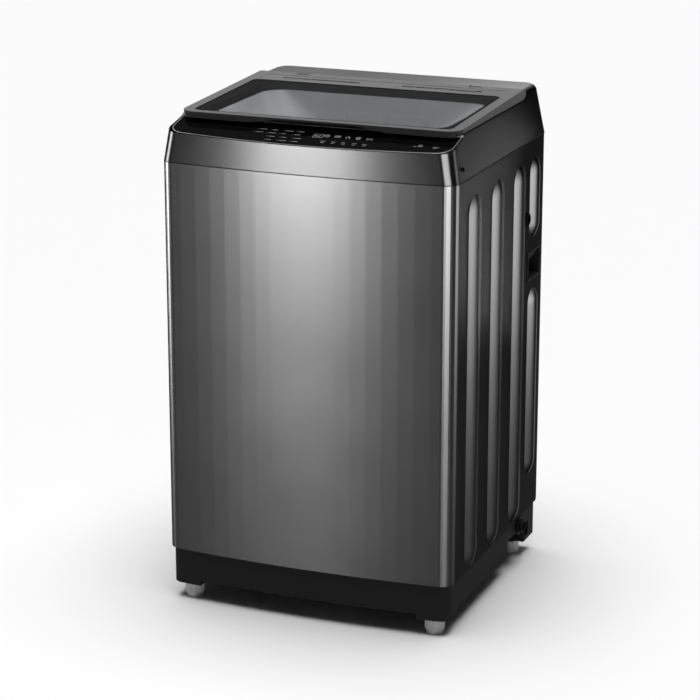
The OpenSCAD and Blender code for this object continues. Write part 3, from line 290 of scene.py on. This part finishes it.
EDGE_RADIUS = {
    "cabinet_shell": 0.0, "top_cover": 1.2, "lid_frame": 1.5, "base_frame": 1.5,
    "control_panel_glass": 0.5, "control_panel_trim": 0.3, "lid_glass": 0.5, "lid_rear_grille": 0.3,
    "mouth_moulding": 0.6,
    "drawer_front": 0.5, "handle_cup_left": 0.6, "handle_cup_right": 0.6, "side_plugs": 0.8,
    "cover_plugs": 0.6, "front_foot_left": 0.7, "front_foot_right": 0.7, "rear_feet": 0.7,
    "drain_outlet": 0.6, "rear_panel": 0.3, "hinge_blocks": 0.5, "pulsator": 1.5, "balance_ring": 3.0,
    "tub_ring": 1.0, "basket_base": 1.0, "pulsator_cap": 0.5, "gear_case": 1.0, "motor_body": 1.0,
    "drive_pulley": 0.6, "outer_tub": 1.0, "tub_lugs": 1.0,
}
for node, radius in EDGE_RADIUS.items():
    made = rounded(node, radius)
    print(made.name, len(made.data.polygons), "faces")

# %% [markdown]
# ## What repeats, or follows a line
# Printed legends, seals and ribs are each one small shape laid along a path or repeated at points, so
# two Geometry Nodes trees make them all. One sweeps a flat rectangle along every edge of a mesh. The
# other sets a rounded peg at every vertex, turned by the direction that the vertex carries.


# %% Two node trees
def new_tree(name, inputs):
    """An empty geometry tree with a mesh coming in, named inputs, and a mesh going out."""
    tree = bpy.data.node_groups.new(name, "GeometryNodeTree")
    tree.is_modifier = True
    tree.interface.new_socket("Mesh", in_out="INPUT", socket_type="NodeSocketGeometry")
    for title, kind in inputs.items():
        tree.interface.new_socket(title, in_out="INPUT", socket_type="NodeSocket" + kind)
    tree.interface.new_socket("Mesh", in_out="OUTPUT", socket_type="NodeSocketGeometry")
    return tree, tree.nodes.new("NodeGroupInput").outputs


def close_tree(tree, shape, finish_socket):
    """Ends a tree with real geometry that carries its finish."""
    real = add(tree, "GeometryNodeRealizeInstances", _0=shape)
    painted = add(tree, "GeometryNodeSetMaterial", _0=real.outputs[0], Material=finish_socket)
    add(tree, "NodeGroupOutput", _0=painted.outputs[0])


sweep_tree, given = new_tree("swept_strip", {"Width": "Float", "Height": "Float", "Finish": "Material"})
line = add(sweep_tree, "GeometryNodeMeshToCurve", _0=given["Mesh"])
upright = add(sweep_tree, "GeometryNodeSetCurveNormal", {"mode": "Z_UP"}, Curve=line.outputs[0])
section = add(sweep_tree, "GeometryNodeCurvePrimitiveQuadrilateral", {"mode": "RECTANGLE"},
              _0=given["Width"], _1=given["Height"])
strip = add(sweep_tree, "GeometryNodeCurveToMesh", Curve=upright.outputs[0], Profile_Curve=section.outputs[0],
            Fill_Caps=True)
close_tree(sweep_tree, strip.outputs[0], given["Finish"])

peg_tree, given = new_tree("pegs_at_points", {"Radius": "Float", "Length": "Float", "Sides": "Int",
                                              "Finish": "Material"})
peg = add(peg_tree, "GeometryNodeMeshCylinder", Vertices=given["Sides"], Radius=given["Radius"],
          Depth=given["Length"])
facing = add(peg_tree, "GeometryNodeInputNamedAttribute", {"data_type": "FLOAT_VECTOR"}, Name="facing")
turned = add(peg_tree, "FunctionNodeAlignRotationToVector", {"axis": "Z"}, Vector=facing.outputs[0])
pegs = add(peg_tree, "GeometryNodeInstanceOnPoints", Points=given["Mesh"], Instance=peg.outputs[0],
           Rotation=turned.outputs[0])
close_tree(peg_tree, pegs.outputs[0], given["Finish"])
print(len(sweep_tree.nodes), "and", len(peg_tree.nodes), "nodes")


# %% Run a tree on a mesh of edges or points
def grow(name, tree, points, edges=(), facing=None, place=None, **inputs):
    """Makes a plain mesh by running a tree on points and edges, then puts it in its place."""
    seed = bpy.data.meshes.new(name)
    seed.from_pydata(points, edges, [])
    if facing:
        way = seed.attributes.new("facing", "FLOAT_VECTOR", "POINT")
        way.data.foreach_set("vector", [value for vector in facing for value in vector])
    obj = bpy.data.objects.new(name, seed)
    bpy.context.scene.collection.objects.link(obj)
    nodes_modifier = obj.modifiers.new("shape", "NODES")
    nodes_modifier.node_group = tree
    for item in tree.interface.items_tree:
        if item.in_out == "INPUT" and item.name in inputs:
            nodes_modifier[item.identifier] = inputs[item.name]
    settle(obj)
    if place:
        obj.data.transform(place)
    print(name, len(obj.data.polygons), "faces")
    return obj


def ride_alone(obj, body):
    """Lets an added piece ride on a body."""
    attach(obj, body)


# %% [markdown]
# ## Legends on the control panel
# The legends are printed in grey ink on the panel's glass: two rows of programme names, a two digit
# minutes display, five touch symbols with a name under each, and two keys at the right. Names are
# plain bars here. The lines are drawn flat, in millimetres along and up the slope from the middle of
# the panel's front edge, and then laid on the glass.

# %% The panel's slope
panel_mesh = nodes["control_panel_glass"].data
sloping = [face for face in panel_mesh.polygons if 0.9 < face.normal.z < 0.999]
top_face = max(sloping, key=lambda face: face.area)
panel_low, panel_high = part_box("control_panel_glass")
lean = math.atan2(-top_face.normal.y, top_face.normal.z)
on_face = panel_mesh.vertices[top_face.vertices[0]].co
front_height = on_face.z + (panel_low[1] - on_face.y) * math.tan(lean)
panel_place = Matrix.Translation((0, panel_low[1], front_height)) @ Matrix.Rotation(lean, 4, "X")
print("panel leans", round(math.degrees(lean), 2), "degrees")

# %% Lines of the legends
SEGMENTS = {"a": ((0, 2), (1, 2)), "b": ((1, 1), (1, 2)), "c": ((1, 0), (1, 1)), "d": ((0, 0), (1, 0)),
            "e": ((0, 0), (0, 1)), "f": ((0, 1), (0, 2)), "g": ((0, 1), (1, 1))}
DIGIT_WIDE, DIGIT_HALF, DIGIT_SLANT = 7.5, 6.5, 0.12
NAME_ROWS = [(55, -108, (13, 9, 15, 11)), (42, -112, (14, 15, 9, 12)), (27, -80, (12, 9, 14)),
             (13, -80, (10, 15, 12))]
NAME_STEP = 26
TICK_START, TICK_END = 4, 2.6  # a short tick before each name
DIGIT_BASE = 38
SYMBOL_AT = (31, 52, 73, 94, 115)
UNDER_ROWS = (24, 18)  # the two rows of names under the symbols
LINE_WIDE, LINE_HIGH = 0.95 * MM, 0.12 * MM

lines = []


def arc(x, y, radius, first=0, last=360, steps=16):
    """Points along part of a circle."""
    turns = [math.radians(first + (last - first) * i / steps) for i in range(steps + 1)]
    return [(x + radius * math.cos(turn), y + radius * math.sin(turn)) for turn in turns]


for start, segments in ((4, "afgedc"), (15.5, "abcdef")):
    for segment in segments:
        lines.append([(start + DIGIT_WIDE * x + DIGIT_SLANT * DIGIT_HALF * y, DIGIT_BASE + DIGIT_HALF * y)
                      for x, y in SEGMENTS[segment]])
for height, start, widths in NAME_ROWS:
    for i, wide in enumerate(widths):
        x = start + NAME_STEP * i
        lines.append([(x, height), (x + wide, height)])
        lines.append([(x - TICK_START, height), (x - TICK_END, height)])
for i, x in enumerate(SYMBOL_AT):
    lines.append([(x - 5 + i % 2, UNDER_ROWS[0]), (x + 5 - i % 3, UNDER_ROWS[0])])
    lines.append([(x - 3, UNDER_ROWS[1]), (x + 4 - i % 2, UNDER_ROWS[1])])
# A clock, three waves, a drop, a turning ring and a step mark, one above each name
lines += [arc(31, 47, 4.5), [(31, 47), (31, 50)], [(31, 47), (33.4, 46)]]
for rise in (0, 3, 6):
    lines.append([(46 + 3 * i, (44, 46)[i % 2] + rise) for i in range(5)])
lines += [arc(73, 46, 4, -60, 240), [(73, 52), (70.5, 48.6)], [(73, 52), (75.5, 48.6)]]
lines += [arc(94, 47, 4.8, 30, 330), arc(94, 47, 2.2)]
lines += [[(111, 43), (111, 51), (118, 47), (111, 43)], [(120.5, 43), (120.5, 51)]]
# The power key and its name, and the start key's two rows
lines += [arc(220, 37, 3.6, 120, 420), [(220, 37.5), (220, 42)], [(208, 33), (214, 33)]]
lines += [[(246, 36), (257, 36)], [(246, 32), (253, 32)]]

points, edges = [], []
for path in lines:
    edges += [(len(points) + i, len(points) + i + 1) for i in range(len(path) - 1)]
    points += [(x * MM, y * MM, 0) for x, y in path]
legends = grow("panel_legends", sweep_tree, points, edges, place=panel_place, Width=LINE_WIDE,
               Height=LINE_HIGH, Finish=legend_ink)
ride_alone(legends, body_of["control_panel_glass"])

# %% [markdown]
# ## Seals and painted shade
# A black strip in the joint between the cabinet and its cover is painted shade in the seam, a black
# gasket holds the lid's glass in its frame, and a black strip on the seat behind the panel is painted
# shade under the lid's front edge. Each is a strip swept along the outline of its piece, or straight across.


# %% Outlines
def outline(node, at, keep):
    """The convex outline, at a height, of the points of a CAD piece that pass a test."""
    flat = bmesh.new()
    for vertex in nodes[node].data.vertices:
        if keep(vertex.co):
            flat.verts.new((vertex.co.x, vertex.co.y, 0))
    bmesh.ops.remove_doubles(flat, verts=flat.verts, dist=0.5 * MM)
    places = sorted({(round(v.co.x, 5), round(v.co.y, 5)) for v in flat.verts})
    flat.free()
    chain = []
    for run in (places, places[::-1]):
        half = []
        for place in run:
            while len(half) > 1 and ((half[-1][0] - half[-2][0]) * (place[1] - half[-2][1])
                                     - (half[-1][1] - half[-2][1]) * (place[0] - half[-2][0])) <= 0:
                half.pop()
            half.append(place)
        chain += half[:-1]
    return [(x, y, at(y)) for x, y in chain]


def ring(name, path, body, wide, high, use):
    """A strip swept round a closed path."""
    loop = [(i, (i + 1) % len(path)) for i in range(len(path))]
    obj = grow(name, sweep_tree, path, loop, Width=wide * MM, Height=high * MM, Finish=use)
    ride_alone(obj, body)
    return obj


# %% The cover's painted seam shade, the glass gasket and the painted shade on the seat
cover_low, cover_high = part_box("top_cover")
# A black strip round the cover's lower edge is painted shade in the seam between the cover and the cabinet
seam = outline("top_cover", lambda y: cover_low[2], lambda p: p.z < cover_low[2] + 1 * MM)
ring("painted_seam_shade", seam, "root", 0.5, 1.7, rubber)

glass_low, glass_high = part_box("lid_glass")
GLASS_THICK = 4 * MM
glass_fall = (glass_high[2] - glass_low[2] - GLASS_THICK) / (glass_high[1] - glass_low[1])
edge = outline("lid_glass", lambda y: glass_high[2] + (y - glass_high[1]) * glass_fall, lambda p: True)
ring("glass_gasket", edge, body_of["lid_glass"], 2.4, 0.9, rubber)

# A black skirt and flap across the seat behind the panel are painted shade under the lid's front edge
STRIP_HALF = 262 * MM
SKIRT_THICK, SKIRT_HIGH, SKIRT_DROP = 1.0 * MM, 4.6 * MM, 1.6 * MM
FLAP_DEEP, FLAP_THICK = 26 * MM, 0.7 * MM
skirt_y = panel_high[1] + 0.3 * MM
flap_y = skirt_y - SKIRT_THICK / 2 + FLAP_DEEP / 2
seat_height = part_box("lid_bumpers")[0][2]


def across(y, z):
    """The two ends of a straight line across the machine."""
    return [(-STRIP_HALF, y, z), (STRIP_HALF, y, z)]


skirt = grow("painted_lid_shade_strip", sweep_tree, across(skirt_y, seat_height - SKIRT_DROP), [(0, 1)],
             Width=SKIRT_THICK, Height=SKIRT_HIGH, Finish=rubber)
ride_alone(skirt, "root")
flap = grow("painted_lid_shade_flap", sweep_tree, across(flap_y, seat_height + FLAP_THICK / 2), [(0, 1)],
            Width=FLAP_DEEP, Height=FLAP_THICK, Finish=rubber)
ride_alone(flap, "root")

# %% [markdown]
# ## Ribs on the feet
# The front feet are turned by hand, so each knob has moulded ribs round it for grip. A rib is a thin
# peg set upright against the knob's side.

# %% Foot ribs
RIBS_ROUND, RIB_SIDES = 24, 8
RIB_RADIUS, RIB_SUNK = 0.9 * MM, 0.3 * MM
RIB_MIDDLE, RIB_LONG = 17.5 * MM, 17 * MM
for side, node in (("left", "front_foot_left"), ("right", "front_foot_right")):
    low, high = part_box(node)
    middle = ((low[0] + high[0]) / 2, (low[1] + high[1]) / 2)
    knob_radius = (high[0] - low[0]) / 2 - RIB_SUNK
    turns = [2 * math.pi * i / RIBS_ROUND for i in range(RIBS_ROUND)]
    places = [(middle[0] + knob_radius * math.cos(turn), middle[1] + knob_radius * math.sin(turn), RIB_MIDDLE)
              for turn in turns]
    ribs = grow("foot_ribs_" + side, peg_tree, places, facing=[(0, 0, 1)] * RIBS_ROUND,
                Radius=RIB_RADIUS, Length=RIB_LONG, Sides=RIB_SIDES, Finish=foot_pp)
    ride_alone(ribs, body_of[node])

# %% [markdown]
# ## Springs and hose
# The tub hangs in four springs and drains through a rubber hose. When the tub bounces, their lower
# ends stay where they are and their upper ends move with the tub. Here each is a rounded copy of its
# CAD solid that stays where it is; the heights below which they stay still are listed but not used.

# %% Springs and hose
STILL_BELOW = {"suspension_springs": 0.332, "drain_hose": 0.100}  # heights in metres
for node, low_z in STILL_BELOW.items():
    soft = rounded(node, 0.0, own=False)
    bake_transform(soft)
    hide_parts(node)

# %% [markdown]
# ## Floor and light
# A pale floor runs far behind the machine, so it is the whole background. A broad soft light hangs
# over it. The paint is glossy enough to show where each light stands: a tall strip at the front left
# draws the upright band on the bowed front, one at the right front draws the line down the rounded
# corner, and others catch the slopes of the side ribs, the left edge, the deck, the lid and the
# opening. Each of them lights only the pieces that it is meant for.

# %% The floor
FLOOR_HALF = 14.0
corners = [(x * FLOOR_HALF, y * FLOOR_HALF, 0) for x, y in ((-1, -1), (1, -1), (1, 1), (-1, 1))]
floor_mesh = bpy.data.meshes.new("floor")
floor_mesh.from_pydata(corners, [], [(0, 1, 2, 3)])
floor = bpy.data.objects.new("floor", floor_mesh)
bpy.context.scene.collection.objects.link(floor)
floor_mesh.materials.append(finish("pale_studio_floor", "#f2f2f2", roughness=0.95))
print("floor", 2 * FLOOR_HALF, "m wide")


# %% The lights
def soft_light(name, place, target, width, height, power):
    """A rectangular soft light that faces a target point."""
    data = bpy.data.lights.new(name, "AREA")
    data.shape = "RECTANGLE"
    data.size = width
    data.size_y = height
    data.energy = power
    obj = bpy.data.objects.new(name, data)
    obj.location = place
    obj.rotation_mode = "QUATERNION"
    obj.rotation_quaternion = (Vector(target) - Vector(place)).to_track_quat("-Z", "Y")
    bpy.context.scene.collection.objects.link(obj)
    return obj


strips = [
    soft_light("front_band", (-1.15, -3.1, 1.35), (0, -0.28, 0.75), 0.8, 1.6, 520),
    soft_light("corner_strip", (2.0, -2.45, 0.95), (0.29, -0.26, 0.6), 2.3, 1.8, 720),
    soft_light("rib_light", (2.0, 1.25, 0.48), (0.3, 0.0, 0.48), 1.5, 0.9, 110),
    soft_light("rear_side", (0.51, 0.70, 0.60), (0.3, 0.20, 0.60), 0.12, 0.55, 7),
    soft_light("left_rim", (-2.2, -0.55, 0.8), (-0.3, -0.25, 0.7), 0.9, 1.3, 330),
    soft_light("deck_light", (-0.7, 2.0, 1.56), (0, 0.24, 0.99), 2.6, 0.5, 38),
]
lid_sheen = soft_light("lid_sheen", (-0.8, 2.0, 1.5), (0, 0, 0.99), 2.6, 0.6, 10)
opening_fill = soft_light("opening_fill", (0, -0.2, 1.6), (0, 0, 0.9), 0.5, 0.5, 6)
for light in strips + [lid_sheen, opening_fill]:
    light.visible_camera = False


# %% What each light reaches
def group(name, finished, plain=()):
    """A collection of finished pieces and of CAD pieces that have no finished copy."""
    made = bpy.data.collections.new(name)
    for piece in finished:
        made.objects.link(bpy.data.objects[piece + "_finished"])
    for piece in plain:
        made.objects.link(nodes[piece])
    return made


painted_pieces = group("painted_pieces", ("cabinet_shell", "top_cover", "control_panel_trim"))
lid_pieces = group("lid_pieces", ("lid_frame", "lid_rear_grille"))
opening_pieces = group("opening_pieces", ("mouth_moulding", "drawer_front", "balance_ring"),
                       ("basket_drum", "detergent_drawer"))
for strip in strips:
    strip.light_linking.receiver_collection = painted_pieces
lid_sheen.light_linking.receiver_collection = lid_pieces
opening_fill.light_linking.receiver_collection = opening_pieces
opening_fill.light_linking.blocker_collection = opening_pieces
print(len(strips) + 2, "soft lights")

# %% [markdown]
# The broad light overhead is the top of the sky. Its sides stay dark, so the paint's flats stay dark too.

# %% The sky dome
SKY_TOP, SKY_SIDE = 6.6, 0.05
CAP_FROM, CAP_FULL = 0.89, 0.94  # the upward part of the direction where the bright cap starts and is full
world = bpy.data.worlds.new("studio")
bpy.context.scene.world = world
world.use_nodes = True
sky = world.node_tree
way = add(sky, "ShaderNodeTexCoord")
parts = add(sky, "ShaderNodeSeparateXYZ", Vector=way.outputs["Generated"])
cap = add(sky, "ShaderNodeMapRange", {"interpolation_type": "SMOOTHSTEP"}, _0=parts.outputs["Z"],
          _1=CAP_FROM, _2=CAP_FULL, _3=SKY_SIDE, _4=SKY_TOP)
sky.links.new(cap.outputs[0], sky.nodes["Background"].inputs["Strength"])
sky.nodes["Background"].inputs["Color"].default_value = linear("#ffffff")
bpy.context.scene.view_settings.view_transform = "Standard"
